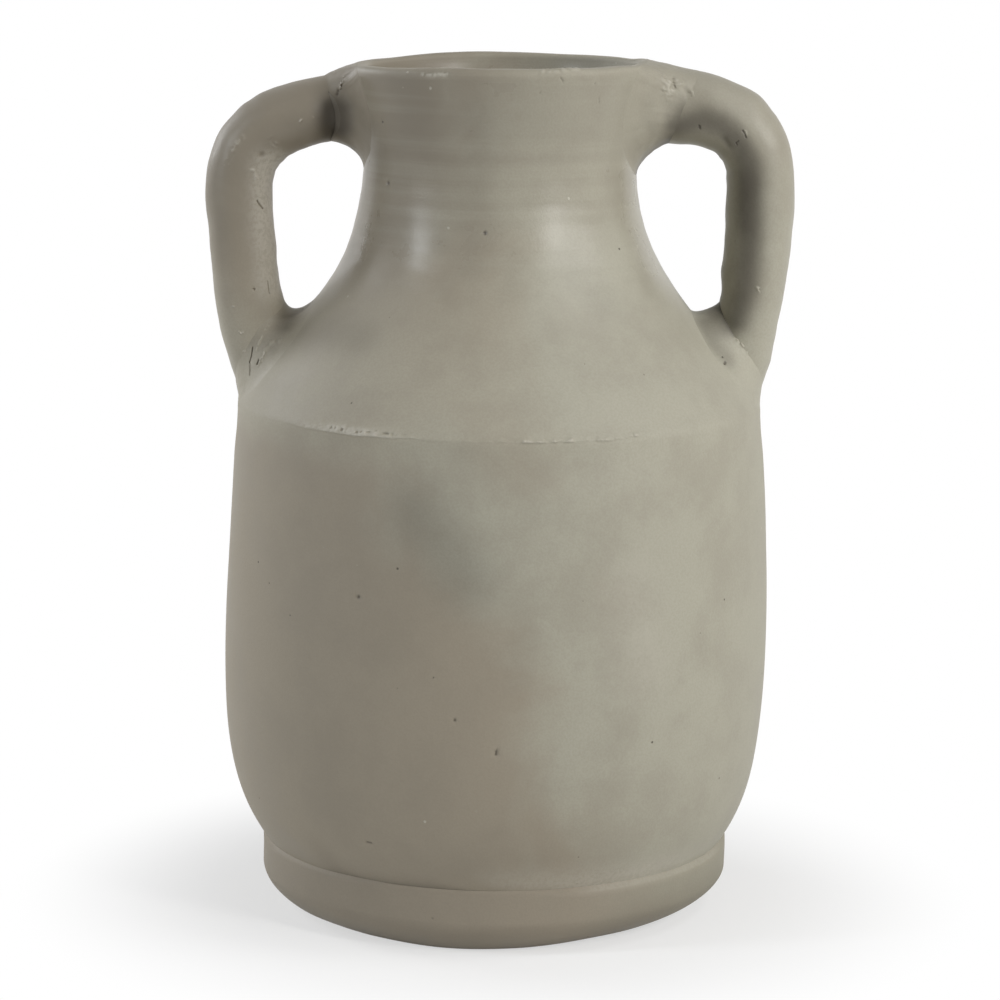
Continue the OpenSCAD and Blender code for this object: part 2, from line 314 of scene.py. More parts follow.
foot_outline = sweep(
    at(stand_r, 0),
    at(0.4 * (foot_r - stand_r), 0.22 * foot_round_h),
    at(0, -0.4 * foot_round_h),
    at(foot_r, foot_round_h),
    26,
)
foot_side_top = at(foot_r, crease_z - foot_edge)
foot_outline += sweep(at(foot_r, foot_round_h), at(0, 3 * mm), at(0, -3 * mm), foot_side_top, 10)[1:]
foot_outline += sweep(
    foot_side_top, at(0, 0.6 * foot_edge), at(0.6 * foot_edge, 0), at(foot_r - foot_edge, crease_z), 8
)[1:]
foot_outline += [at(rebate_r, foot_h), at(rebate_r, rebate_z), at(hollow_r, rebate_z)]
foot_outline += sweep(
    at(hollow_r, hollow_edge),
    at(0, -0.6 * hollow_edge),
    at(-0.6 * hollow_edge, 0),
    at(hollow_r + hollow_edge, 0),
    8,
)
foot_bm = turned(foot_outline, 420)
foot_painted_light = foot_bm.verts.layers.float.new("wear_and_painted_light")
for vert in foot_bm.verts:
    side = azimuth(vert.co)
    radius = vert.co.xy.length
    # The upper edge is pared back to a bevel, and the side below it ends where the bevel starts
    back = through(pared, side) * mm
    bevel = least_bevel + bevel_slope * back
    up = max(0, vert.co.z - foot_side_top.z) / foot_edge
    if radius > rebate_r + 2 * mm and up > 0:
        vert.co += outward(vert.co, foot_r - back * up**bevel_curve - radius)
        vert.co.z = crease_z - (1 - up) * bevel
        # Painted light along the bevel, where it faces up
        vert[foot_painted_light] = through(bevel_painted_light, side) * ease(0, 0.5, up)
    elif radius > foot_r - hair:
        share = (vert.co.z - foot_round_h) / (foot_side_top.z - foot_round_h)
        vert.co.z = foot_round_h + share * (crease_z - bevel - foot_round_h)
    if vert.co.z < crease_z - bevel:
        # Painted shade on the side below the bevel, darker towards the bottom
        vert[foot_painted_light] = -foot_shade * through(shaded, side) * ease(25 * mm, 12 * mm, vert.co.z)
    if vert.co.z < foot_round_h and radius > stand_r - hair:
        vert.co += outward(vert.co, through(squarer, side) * (foot_r - radius))
knead(foot_bm, 0.45 * mm, 70 * mm, 2)
knead(foot_bm, 0.2 * mm, 20 * mm, 1)
for vert in foot_bm.verts:
    vert.co.z = max(0, vert.co.z)
sag(foot_bm)
foot_clay = fired_clay("foot_clay", clay_tone(149, 140, 125), clay_tone(148, 144, 129), 0.62, 0.1)
fired("foot_ring", foot_bm, foot_clay, "foot_band")

# Floor disc
# A flat disc of clay that closes the bottom, laid in the foot band's rebate under the drum's edge.
# It shows inside, down the neck, and underneath, where a wire cut it off the wheel.
floor_r = rebate_r - hair
floor_edge = 1 * mm
wire_pitch = 1.4 * mm
wire_depth = 0.12
floor_dish = 0.5
floor_outline = [at(0, rebate_z), at(floor_r - floor_edge, rebate_z), at(floor_r, rebate_z + floor_edge)]
floor_outline += [at(floor_r, foot_h - floor_edge), at(floor_r - floor_edge, foot_h), at(0, foot_h)]
floor_bm = turned(floor_outline, 120)
spokes = [edge for edge in floor_bm.edges if edge.calc_length() > 10 * mm]
bmesh.ops.subdivide_edges(floor_bm, edges=spokes, cuts=24, use_grid_fill=True)
for vert in floor_bm.verts:
    across = math.hypot(vert.co.x, vert.co.y)
    wire = math.sin(vert.co.x / wire_pitch + 2 * noise.noise(vert.co / (30 * mm)))
    if across < hollow_r and vert.co.z < rebate_z + hair:
        vert.co.z += (wire_depth * wire + floor_dish * (1 - across / hollow_r)) * mm
sag(floor_bm)
# The cool clay is lighter than the warm: part tone, part painted light for the right-hand side
warm_clay = clay_tone(155, 146, 130)
cool_clay = clay_tone(170, 167, 152)
floor_clay = fired_clay("floor_clay", warm_clay, cool_clay, 0.62, 0.1)
fired("floor_slab", floor_bm, floor_clay, "floor_disc")

# Body drum
# The thrown lower half of the vase, swelling from the foot to a low belly and closing in to the join.
# It was wiped smooth with a wet rib, and stands on the foot band with slip smeared into the crease.
drum_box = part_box("body_drum")
belly_r = drum_box[1].x
belly_z = 92 * mm
seam_z = drum_box[1].z
seam_r = 93.8 * mm
seam_wall = 11 * mm
crease_r = foot_r - 0.6 * mm
drum_flare = math.radians(26)
drum_wall = 8 * mm
drum_low_wall = 10 * mm
groove_h = 2 * mm
groove_d = 3.2 * mm
low_rise = belly_z - crease_z
high_rise = seam_z - belly_z
crease_lap = 0.6 * mm
crease_in = 0.5 * mm
# By the side in degrees: painted light above the foot, painted shade in the crease, and mm rubbed out of it
painted_light_above_foot = ((-14, 0), (2, 0.6), (40, 0.6), (60, 0.35), (76, 0))
crease_painted_shade = ((-52, 0), (-34, 0.5), (-4, 0.6), (10, 0.3), (22, 0))
rubbed = ((-48, 0), (-27, 0.2), (2, 0.2), (18, 0))
# The finished walls, kept for the clay that is pressed on to them later
wall_trees = []


def drum_side(foot, belly, top, steps):
    """The side of the drum from its foot, over its belly, to the join."""
    side = sweep(
        foot,
        0.2 * low_rise * at(math.sin(drum_flare), math.cos(drum_flare)),
        at(0, -0.7 * low_rise),
        belly,
        steps,
    )
    return side + sweep(
        belly,
        at(0, 0.45 * high_rise),
        0.3 * at(belly_r - seam_r, -high_rise),
        top,
        steps,
    )[1:]


def join_swell(height):
    """How far the soft top of the drum stands out below the join."""
    return (0.55 * ease(128 * mm, 164 * mm, height) - 0.4 * ease(164 * mm, 176 * mm, height)) * mm


def thrown_unevenness(bm):
    """The soft waves that run on from the drum over the join to the neck."""
    knead(bm, 0.45 * mm, 70 * mm, 2)
    knead(bm, 0.16 * mm, 22 * mm, 3)


def reach_to(place, legs):
    """The distance from a place to the nearest of some straight legs."""
    reaches = []
    for start, end in legs:
        run = end - start
        share = 0.0
        if run.length > 0:
            share = min(1, max(0, (place - start).dot(run) / run.length_squared))
        reaches.append((place - start - run * share).length)
    return min(reaches)


def score(bm, lines):
    """Cut cracks and pits, or raise ridges where the depth is below 0, and shade the clay along them.

    A line holds its points, depth and width in mm, and its shade, from -1 for dark to 1 for pale. A line of
    no depth only paints the clay; many such lines are painted shade or painted light.
    """
    wear_and_painted_light = bm.verts.layers.float.get("wear_and_painted_light") or bm.verts.layers.float.new("wear_and_painted_light")
    bm.normal_update()
    tree = BVHTree.FromBMesh(bm)
    for points, depth, width, shade in lines:
        places = [tree.find_nearest(Vector(point) * mm)[0] for point in points]
        legs = list(zip(places, places[1:])) or [(places[0], places[0])]
        span = sum((end - start).length for start, end in legs) + 3 * width * mm
        # A fine line first gets a finer mesh
        if width < 0.8:
            margin = (2 * width + 0.6) * mm
            nearby = [vert for vert in bm.verts if (vert.co - places[0]).length < span + 2 * mm]
            close = {vert for vert in nearby if reach_to(vert.co, legs) < margin}
            fine = [edge for edge in bm.edges if edge.verts[0] in close and edge.verts[1] in close]
            bmesh.ops.subdivide_edges(bm, edges=fine, cuts=3, use_grid_fill=True)
            bm.normal_update()
        for vert in bm.verts:
            if (vert.co - places[0]).length > span:
                continue
            wander = min(0.5 * width, 0.18) * mm * noise.noise(vert.co / (0.9 * mm))
            fall = bell(reach_to(vert.co, legs) + wander, 0, width * mm)
            # A narrow pale line is broken up, as a scuff is
            if shade > 0 and width < 4:
                fall *= ease(-0.3, 0.2, noise.noise(vert.co / (1.3 * mm)))
            if fall > 0.02:
                vert.co -= vert.normal * depth * mm * fall
                vert[wear_and_painted_light] = max(-1, min(1, vert[wear_and_painted_light] + shade * fall))


drum_outside = drum_side(
    at(crease_r, crease_z - crease_lap),
    at(belly_r, belly_z),
    at(seam_r, seam_z - groove_h),
    64,
)
drum_inside = drum_side(
    at(crease_r - drum_low_wall, foot_h),
    at(belly_r - drum_wall, belly_z),
    at(seam_r - seam_wall, seam_z),
    12,
)
groove_floor = at(seam_r - groove_d, seam_z)
drum_bm = turned(drum_outside + [groove_floor] + drum_inside[::-1], 440)
thrown_unevenness(drum_bm)
drum_painted_light = drum_bm.verts.layers.float.new("wear_and_painted_light")
for vert in drum_bm.verts:
    side = azimuth(vert.co)
    above = max(0, vert.co.z - crease_z)
    if vert.co.xy.length > crease_r - 2 * mm:
        back = through(pared, side) * mm - crease_in
        groove = through(rubbed, side) * mm
        tuck = back * math.exp(-above / (4 * mm)) + groove * math.exp(-above / (2.4 * mm))
        vert.co += outward(vert.co, join_swell(vert.co.z) - tuck)
        # Painted light low on the drum and painted shade in the crease
        pale = through(painted_light_above_foot, side) * bell(above, 0, 10 * mm)
        vert[drum_painted_light] = pale - through(crease_painted_shade, side) * math.exp(-above / (3.2 * mm))
wall_trees.append(BVHTree.FromBMesh(drum_bm))
score(
    drum_bm,
    [
        ([(-47.3, -85.0, 128.0)], 0.6, 0.7, -1.0),
        ([(0.8, -97.8, 76.5), (0.9, -97.8, 77.9)], 0.5, 0.5, -0.8),
        ([(-13.5, -97.2, 88.4)], 0.5, 0.6, -1.0),
        ([(-43.4, -81.6, 40.6), (-42.0, -82.2, 40.5)], 0.4, 0.5, -0.7),
        # Painted shade on the front left of the drum
        ([(-27.0, -92.0, 157.0), (-11.0, -97.0, 137.0)], 0, 16.0, -0.44),
        ([(-63.0, -60.0, 40.0), (-57.0, -63.0, 33.0)], 0, 9.0, -0.24),
        # Painted light on the right of the drum
        ([(44.0, -87.0, 132.0), (50.0, -84.0, 104.0)], 0, 18.0, 0.36),
    ],
)
sag(drum_bm)
drum_clay = fired_clay("drum_clay", warm_clay, cool_clay, 0.58, 0.1)
fired("thrown_drum", drum_bm, drum_clay, "body_drum")

# Shoulder and neck
# The thrown upper half: one wall that closes in from the join to the throat and opens to the lip.
# It was set on the drum and beaten down, its lip rounded with a wet leather and knocked a little since.
vase_h = cad_box[1].z
shoulder_slope = math.radians(58)
throat_r = 48.6 * mm
throat_z = 269 * mm
neck_wall = 7.5 * mm
lip_r = 53.4 * mm
lip_t = 6 * mm
lip_flatness = 0.6
lip_steps = 18
lip_z = vase_h - lip_t / 2
shoulder_rise = throat_z - seam_z
lip_rise = lip_z - throat_z
shoulder_start = at(seam_r - groove_h / math.tan(shoulder_slope), seam_z + groove_h)
ring_pitch = 1.15 * mm
ring_depth = 0.035
lip_unevenness = 0.25


def neck_side(low, throat, lip, steps):
    """The side of the shoulder and neck, from the join to the lip."""
    side = sweep(
        low,
        0.365 * shoulder_rise * at(-math.cos(shoulder_slope), math.sin(shoulder_slope)),
        at(0, -0.487 * shoulder_rise),
        throat,
        steps,
    )
    return side + sweep(
        throat,
        at(0, 0.35 * lip_rise),
        -lip_rise * at(0.05, 0.35),
        lip,
        steps // 3,
    )[1:]


neck_outside = neck_side(shoulder_start, at(throat_r, throat_z), at(lip_r, lip_z), 84)
neck_inside = neck_side(
    at(seam_r - seam_wall, seam_z),
    at(throat_r - neck_wall, throat_z),
    at(lip_r - lip_t, lip_z),
    24,
)
lip_crest = []
for step in range(1, lip_steps):
    turn = math.pi * step / lip_steps
    out = math.copysign(abs(math.cos(turn)) ** lip_flatness, math.cos(turn))
    lip_crest.append(at(lip_r - lip_t / 2, lip_z) + lip_t / 2 * at(out, math.sin(turn) ** lip_flatness))
neck_bm = turned([groove_floor] + neck_outside + lip_crest + neck_inside[::-1], 440)
thrown_unevenness(neck_bm)
for vert in neck_bm.verts:
    # Fine rings left by the fingers below the lip, then the lip's own waves
    rings = math.sin(vert.co.z / ring_pitch + 3 * noise.noise(vert.co / (40 * mm)))
    strength = ease(205 * mm, 240 * mm, vert.co.z) * ease(300 * mm, 285 * mm, vert.co.z)
    vert.co += vert.normal * ring_depth * mm * rings * strength
    lip_wave = ease(292 * mm, 303 * mm, vert.co.z) * noise.noise(vert.co / (16 * mm))
    vert.co += vert.normal * lip_unevenness * mm * lip_wave
wall_trees.append(BVHTree.FromBMesh(neck_bm))
score(
    neck_bm,
    [
        # Painted shade: the left handle's shadow on the shoulder, the far left of the shoulder, down the
        # neck between its highlights, and the shoulder right of centre
        ([(-70.0, -26.0, 209.0), (-60.4, -38.3, 212.4), (-48.0, -53.4, 211.7)], 0, 12.0, -0.38),
        ([(-84.0, -26.0, 193.0), (-74.0, -46.0, 193.0)], 0, 9.0, -0.2),
        ([(-8.0, -52.0, 290.0), (-8.0, -52.0, 250.0), (-9.0, -57.0, 238.0)], 0, 9.0, -0.26),
        ([(26.0, -52.0, 240.0), (36.0, -52.0, 226.0)], 0, 13.0, -0.24),
        ([(-39.2, -29.2, 263.7)], 0.6, 0.7, -1.0),
        ([(-5.2, -50.8, 248.9)], 0.5, 0.6, -1.0),
        ([(47.7, -18.3, 281.5)], 0.5, 0.7, -1.0),
        ([(-41.1, -28.7, 284.9)], 0.4, 0.5, -1.0),
        ([(-26.6, -45.6, 303.0), (-22.4, -48.2, 302.8), (-19.0, -49.6, 303.0)], 0.35, 0.9, 1.0),
        ([(-24.5, -47.0, 298.0), (-24.0, -47.4, 300.0)], 0.15, 0.5, 0.9),
        ([(-32.4, -41.2, 303.6), (-30.0, -43.0, 303.6)], -0.2, 0.5, 0.9),
        ([(-33.9, -40.7, 298.4)], -0.2, 0.4, 0.8),
        ([(13.4, -50.6, 303.8), (19.6, -48.6, 304.6), (25.6, -45.4, 304.4)], -0.45, 1.5, 0.5),
        ([(20.2, -49.6, 301.9), (20.9, -49.3, 300.9)], 0.25, 0.35, -0.45),
        ([(32.1, -42.2, 299.8)], 0.2, 0.35, -0.45),
        ([(33.5, -39.8, 294.6), (33.7, -39.4, 293.2)], 0.2, 0.3, -0.4),
        ([(13.1, -50.9, 297.0)], 0.2, 0.35, -0.4),
    ],
)
sag(neck_bm)
neck_clay = fired_clay("neck_clay", warm_clay, cool_clay, 0.58, 1)
fired("thrown_neck", neck_bm, neck_clay, "shoulder_and_neck")

# Seam bead
# A roll of soft clay pressed into the join between the two halves and wiped over with a finger.
# At the front left it was left as a raised, ragged line with small holes; to the right it is wiped away.
bead_low = seam_z - 6 * mm
bead_rise = 13 * mm
bead_rows = 56
bead_skin = 0.06 * mm
bead_tuck = 0.26 * mm
lap_under = 0.4
# By the side in degrees: mm that the lap stands out, mm that it spreads upwards, its holes and its crumbs
lapped = (
    (-180, 0.4), (-110, 0.1), (-58, 0.03), (-50, 0.12), (-42, 0.5), (-30, 0.62), (-24, 0.4),
    (-12, 0.25), (-3, 0.15), (6, 0.4), (28, 0.35), (36, 0), (110, 0), (180, 0.4),
)
broad = ((-50, 3), (-29, 2.6), (-22, 1.1), (180, 0.8))
pitted = ((-42, 0), (-38, 1), (-22, 1), (-18, 0))
crumbly = ((-140, 0.6), (-60, 0.2), (-8, 0.2), (4, 1), (30, 1), (60, 0.2), (180, 0.6))
bead_corner = sweep(
    at(seam_r, seam_z - groove_h),
    at(0, 1.4 * mm),
    1.4 * mm * at(math.cos(shoulder_slope), -math.sin(shoulder_slope)),
    shoulder_start,
    12,
)
skin = sorted((point.z, point.x) for point in drum_outside + bead_corner + neck_outside + lip_crest[:7])
skin_heights = [height for height, radius in skin]


def skin_r(height):
    """The radius of the vase's outside at a height."""
    above = min(max(1, bisect_left(skin_heights, height)), len(skin) - 1)
    (z0, r0), (z1, r1) = skin[above - 1], skin[above]
    share = min(1, max(0, (height - z0) / max(z1 - z0, 1e-9)))
    return r0 + (r1 - r0) * share


bead_outline = [groove_floor]
for step in range(bead_rows + 1):
    height = bead_low + bead_rise * step / bead_rows
    laid = bead_skin - bead_tuck * abs(2 * step / bead_rows - 1) ** 4
    bead_outline.append(at(skin_r(height) + laid, height))
bead_bm = turned(bead_outline, 1300)
thrown_unevenness(bead_bm)
bead_wear = bead_bm.verts.layers.float.new("wear_and_painted_light")
for vert in bead_bm.verts:
    side = azimuth(vert.co)
    if vert.co.xy.length < seam_r - 7 * mm:
        continue
    swell = join_swell(vert.co.z) * ease(seam_z + 4 * mm, seam_z - 1 * mm, vert.co.z)
    vert.co += outward(vert.co, swell)
    # The lap's lower edge wanders and is sharp, and its upper side fades over the shoulder
    ragged = noise.noise(vert.co / (2.4 * mm)) + 0.5 * noise.noise(vert.co / (0.8 * mm))
    edge = 0.7 * noise.noise(vert.co / (9 * mm)) - 0.1 + 0.25 * ragged
    across = (vert.co.z - seam_z) / mm - edge
    fall = bell(across, 0, lap_under if across < 0 else through(broad, side))
    crumbs = through(crumbly, side)
    proud = through(lapped, side) * fall * max(0, 1 + ragged * (0.4 + 1.2 * crumbs) - 0.4 * crumbs)
    holes = through(pitted, side) * bell(across, 1.1, 0.4)
    holes *= ease(0.15, 0.4, noise.noise(vert.co / (1.1 * mm)))
    vert.co += outward(vert.co, (proud - 0.5 * holes) * mm)
    # It is rubbed pale where it stands out, with a pale haze round its dark holes
    haze = 0.34 * through(pitted, side) * bell(across, 1.6, 2)
    vert[bead_wear] = haze + 0.7 * min(1, 1.5 * proud) * ease(0.05, 0.5, proud) - 0.9 * holes
wall_trees.append(BVHTree.FromBMesh(bead_bm))
sag(bead_bm)
bead_clay = fired_clay("bead_clay", warm_clay, cool_clay, 0.58, 0.1)
fired("seam_roll", bead_bm, bead_clay, "seam_bead")

# Handles
# Two thick rolls of clay, bent by hand and butted against the neck and the shoulder.
# They are oval in section and uneven, with nicks and grit left from the rolling.
handle_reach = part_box("right_handle")[1].x
leg_t = 23.4 * mm
root_t = 25.5 * mm
handle_depth = 26.5 * mm
section_power = 2.1
elbow_drop = 49 * mm
root_lean = math.radians(24)
root_in = 15.5 * mm
leg_x = handle_reach - leg_t / 2
elbow = at(leg_x, vase_h - elbow_drop)
root = at(seam_r - root_in, seam_z + groove_h)
leg_drop = elbow.z - root.z
handle_sides = 160
handle_rings = 260
arm_pull = 0.78
leg_pull = 0.29
root_pull = 0.42
bend_ease = 0.15
bend_at = 0.76
bend_reach = 16 * mm
bend_strokes = 14
end_sink = 0.02
# The stretch of a handle, from outside to inside, in which either end meets the wall
neck_end = (0.6, 0)
shoulder_end = (1.4, 2)
# Along a handle: mm added to its outer side, to the side of the gap and to its front
left_arm = {
    "side": -1,
    "thick": 24.2 * mm,
    "drop": 14.8 * mm,
    "dip": math.radians(11),
    "outer": (
        (0, 1.8), (0.24, 1.3), (0.43, 0.55), (0.52, -0.25), (0.62, -0.8), (0.75, -0.3),
        (0.9, 0.2), (1, 0.4), (1.2, -0.6), (1.4, -0.5), (1.6, 0.3), (1.85, 0.7),
    ),
    "gap": (
        (0, -0.7), (0.22, -0.7), (0.35, 0), (0.45, 0.5), (0.6, 1.3), (0.7, 1.1), (0.82, 0.5),
        (0.92, 0), (1, 0.15), (1.2, 0.35), (1.3, 0.5), (1.42, 0), (1.55, -0.5), (1.7, -0.9),
    ),
    "front": ((0, -3), (0.1, -3), (0.27, 0)),
}
right_arm = {
    "side": 1,
    "thick": 26.8 * mm,
    "drop": 15.6 * mm,
    "dip": math.radians(3.5),
    "outer": (
        (0, 2.2), (0.26, 2), (0.4, 1.4), (0.5, 1.65), (0.6, 0.75), (0.7, 0.5), (0.8, 0.35),
        (1, 0), (1.2, -0.6), (1.4, -0.9), (1.57, -0.9), (1.7, -0.4), (1.8, 0.5), (1.9, 0.9),
    ),
    "gap": (
        (0, -0.8), (0.2, -1.4), (0.3, -2), (0.45, -1.7), (0.6, -0.55), (0.75, 0.1), (0.85, 0.9),
        (1.05, 1.2), (1.2, 0.7), (1.3, 0.4), (1.4, 0.3), (1.55, -1.8), (1.72, -3),
    ),
    "front": ((0, 0), (2, 0)),
}


def bend(start, leaving, arriving, end, t):
    """A place along a smooth bend from one end to the other, drawn by two points between them."""
    place = (1 - t) ** 3 * start + 3 * t * (1 - t) ** 2 * leaving
    return place + 3 * t * t * (1 - t) * arriving + t**3 * end


def handle_line(arm, s):
    """The middle of a handle and its direction.

    The place s runs from 0 in the neck over 1 at the elbow to 2 in the shoulder.
    """
    if s < 1:
        start = at(throat_r - neck_wall / 2, vase_h - arm["drop"])
        leaving = start + arm_pull * (leg_x - start.x) * at(math.cos(arm["dip"]), -math.sin(arm["dip"]))
        arriving = elbow + at(0, arm_pull * (start.z - elbow.z))
        end = elbow
        t = s
    else:
        start = elbow
        leaving = elbow - at(0, leg_pull * leg_drop)
        arriving = root + root_pull * leg_drop * at(math.sin(root_lean), math.cos(root_lean))
        end = root
        t = s - 1
    way = 3 * (1 - t) ** 2 * (leaving - start)
    way += 6 * t * (1 - t) * (arriving - leaving)
    way += 3 * t * t * (end - arriving)
    return bend(start, leaving, arriving, end, t), way


def handle_frame(arm, s):
    """The middle of a handle, the ways to its outer and inner sides, and half its thickness."""
    middle, way = handle_line(arm, s)
    onward = way.normalized()
    upright = at(-onward.z, onward.x)
    easy = handle_line(arm, s - bend_ease)[1].normalized() + handle_line(arm, s + bend_ease)[1].normalized()
    easy.normalize()
    inward = at(easy.z, -easy.x)
    if s < 1:
        thick = arm["thick"] + (leg_t - arm["thick"]) * ease(0, 1, s)
    else:
        thick = leg_t + (root_t - leg_t) * ease(0, 1, s - 1)
    return middle, upright, inward, thick / 2


def handle_point(arm, angle, s, grow=0.0):
    """A point of a handle's surface: angle 0 is its outer side and half a turn the side of the gap."""
    middle, upright, inward, half = handle_frame(arm, s)
    across = math.copysign(abs(math.cos(angle)) ** (2 / section_power), math.cos(angle))
    deep = math.copysign(abs(math.sin(angle)) ** (2 / section_power), math.sin(angle))
    reach = half + grow + through(arm["outer" if across > 0 else "gap"], s) * mm
    depth = handle_depth / 2 + grow + (through(arm["front"], s) * mm if deep < 0 else 0)
    way = upright * across if across > 0 else inward * -across
    return middle + way * reach + Vector((0, depth * deep, 0))


def meeting(arm, angle, end):
    """How far along a handle a line of its surface meets the wall, by halving the stretch at one end."""
    outside, inside = end
    for halving in range(24):
        s = (outside + inside) / 2
        point = handle_point(arm, angle, s)
        if point.xy.length > skin_r(point.z):
            outside = s
        else:
            inside = s
    return outside


def sided(arm, point):
    """A point of a handle on the right, moved to the arm's own side."""
    return Vector((point.x * arm["side"], point.y, point.z))


def drawn_rings(arm, rings, sides):
    """A skin drawn along rings of places, each ring a function of the angle round a handle."""
    bm = bmesh.new()
    turn = bm.verts.layers.float.new("turn")
    number = bm.verts.layers.float.new("ring")
    loop = bmesh.ops.create_circle(bm, segments=sides, radius=1)["verts"]
    for vert in loop:
        vert[turn] = math.atan2(vert.co.y, vert.co.x)
        vert.co = sided(arm, rings[0](vert[turn]))
    first = list(bm.edges)
    edges = first
    for count, ring in enumerate(rings[1:], 1):
        made = bmesh.ops.extrude_edge_only(bm, edges=edges)["geom"]
        edges = [part for part in made if isinstance(part, bmesh.types.BMEdge)]
        for vert in made:
            if isinstance(vert, bmesh.types.BMVert):
                vert.co = sided(arm, ring(vert[turn]))
                vert[number] = count
    return bm, first, edges


def forget_rings(bm):
    """Drop the two layers that a skin was drawn by."""
    for name in ("turn", "ring"):
        bm.verts.layers.float.remove(bm.verts.layers.float[name])


def rolled_handle(arm, seed):
    """One bent roll of clay, its ends let a little way into the wall."""
    stretches = {}

    def along(share):
        def place(angle):
            key = round(angle, 6)
            if key not in stretches:
                start = meeting(arm, angle, neck_end) - end_sink
                stretches[key] = (start, meeting(arm, angle, shoulder_end) + end_sink)
            start, end = stretches[key]
            return handle_point(arm, angle, start + (end - start) * share)

        return place

    rings = [along(count / handle_rings) for count in range(handle_rings + 1)]
    bm, first, last = drawn_rings(arm, rings, handle_sides)
    for edges in (first, last):
        rim = list({vert for edge in edges for vert in edge.verts})
        fan = bmesh.ops.extrude_edge_only(bm, edges=edges)["geom"]
        tips = [part for part in fan if isinstance(part, bmesh.types.BMVert)]
        centre = sum((vert.co for vert in rim), Vector()) / len(rim)
        bmesh.ops.pointmerge(bm, verts=tips, merge_co=centre)
    forget_rings(bm)
    crook = sided(arm, handle_point(arm, math.pi, bend_at))
    inner_bend = [vert for vert in bm.verts if (vert.co - crook).length < bend_reach]
    for stroke in range(bend_strokes):
        bmesh.ops.smooth_vert(
            bm, verts=inner_bend, factor=0.5, use_axis_x=True, use_axis_y=True, use_axis_z=True
        )
    bmesh.ops.recalc_face_normals(bm, faces=bm.faces)
    knead(bm, 0.4 * mm, 30 * mm, seed)
    knead(bm, 0.25 * mm, 11 * mm, seed + 1)
    knead(bm, 0.06 * mm, 3.5 * mm, seed + 2)
    return bm


# Painted shade along the front of the right handle, on the side toward the gap, and on to its wads
right_handle_painted_shade = (
    [
        (62.0, -12.6, 283.0),
        (71.0, -13.3, 286.0),
        (77.5, -13.3, 284.2),
        (83.2, -13.1, 279.4),
        (87.6, -12.6, 270.9),
        (88.6, -12.8, 262.8),
        (88.6, -12.9, 244.7),
        (87.6, -12.9, 225.5),
        (84.6, -12.4, 214.4),
    ],
    0,
    6.0,
    -0.76,
)
left_bm = rolled_handle(left_arm, 11)
right_bm = rolled_handle(right_arm, 21)
score(
    left_bm,
    [
        # A thumb hollow and the arm's front beside it, darkened with painted shade
        ([(-58.8, -10.6, 287.5), (-58.0, -10.0, 277.0)], 0.9, 6.2, -0.95),
        ([(-66.0, -12.6, 284.0), (-79.0, -12.6, 279.0)], 0, 7.0, -0.18),
        # Painted light on the leg's side toward the gap, lit from the right
        ([(-82.6, -7.5, 268.0), (-82.4, -7.5, 250.0), (-80.0, -7.5, 226.0)], 0, 8.5, 0.95),
        ([(-85.9, -11.0, 255.2), (-85.2, -10.6, 254.0), (-83.9, -9.2, 252.3)], 0.5, 0.3, -0.7),
        ([(-82.0, -10.2, 226.6), (-81.8, -10.4, 224.6), (-81.5, -10.6, 222.4)], 0.4, 0.25, -0.7),
        ([(-87.1, -12.9, 224.1)], 0.5, 0.35, -0.9),
        ([(-72.6, -13.0, 281.2)], -0.3, 0.5, 1.0),
        ([(-70.9, -13.2, 283.7), (-70.3, -13.2, 284.2)], -0.3, 0.5, 1.0),
        ([(-66.2, -13.2, 285.2)], -0.2, 0.4, 0.8),
        ([(-93.3, -12.1, 209.2), (-92.0, -12.4, 208.0), (-91.1, -12.8, 208.4)], -0.25, 0.35, 0.8),
        ([(-92.2, -11.7, 202.0), (-90.4, -12.4, 201.7)], -0.25, 0.35, 0.8),
        ([(-95.0, -12.2, 217.8), (-94.2, -12.3, 217.5)], -0.2, 0.35, 0.6),
        # A low ridge on the elbow, painted pale as a highlight
        ([(-96.8, -12.0, 268.5), (-94.5, -12.4, 273.5), (-91.2, -12.3, 277.8)], -0.05, 1.3, 0.45),
        ([(-80.7, -12.8, 276.9), (-79.6, -12.6, 275.2)], -0.4, 1.2, 0.35),
        ([(-87.4, -12.4, 266.3), (-85.6, -12.3, 263.0)], -0.4, 1.1, 0.3),
        ([(-84.3, -12.0, 271.5)], 0.5, 1.0, -0.4),
    ],
)
score(
    right_bm,
    [
        right_handle_painted_shade,
        # Painted shade on the front of the right leg
        ([(84.5, -13.0, 263.0), (84.5, -13.0, 250.0)], 0, 5.0, -0.24),
        ([(69.7, -12.9, 283.4), (69.9, -12.9, 282.4)], 0.4, 0.3, -0.6),
        ([(85.0, -13.1, 281.9), (85.7, -13.1, 280.9), (86.2, -13.1, 279.6)], 0.3, 0.25, -0.5),
        ([(86.0, -13.1, 282.0), (86.6, -13.1, 280.2)], -0.15, 0.3, 0.5),
        ([(83.5, -13.0, 278.3), (82.6, -13.0, 277.5), (83.0, -13.0, 276.7)], 0.25, 0.25, -0.4),
        ([(78.6, -12.6, 278.6), (79.6, -12.6, 276.0)], 0.3, 1.2, -0.15),
        ([(91.4, -13.2, 226.3), (92.3, -13.1, 225.2)], -0.35, 0.5, 0.8),
        # A painted highlight on the right elbow
        ([(91.0, -12.6, 283.5), (95.5, -12.0, 277.5)], 0, 4.0, 0.4),
    ],
)
sag(left_bm)
sag(right_bm)
handle_clay = fired_clay("handle_clay", warm_clay, cool_clay, 0.44, 0.1)
fired("left_roll", left_bm, handle_clay, "left_handle")
fired("right_roll", right_bm, handle_clay, "right_handle")

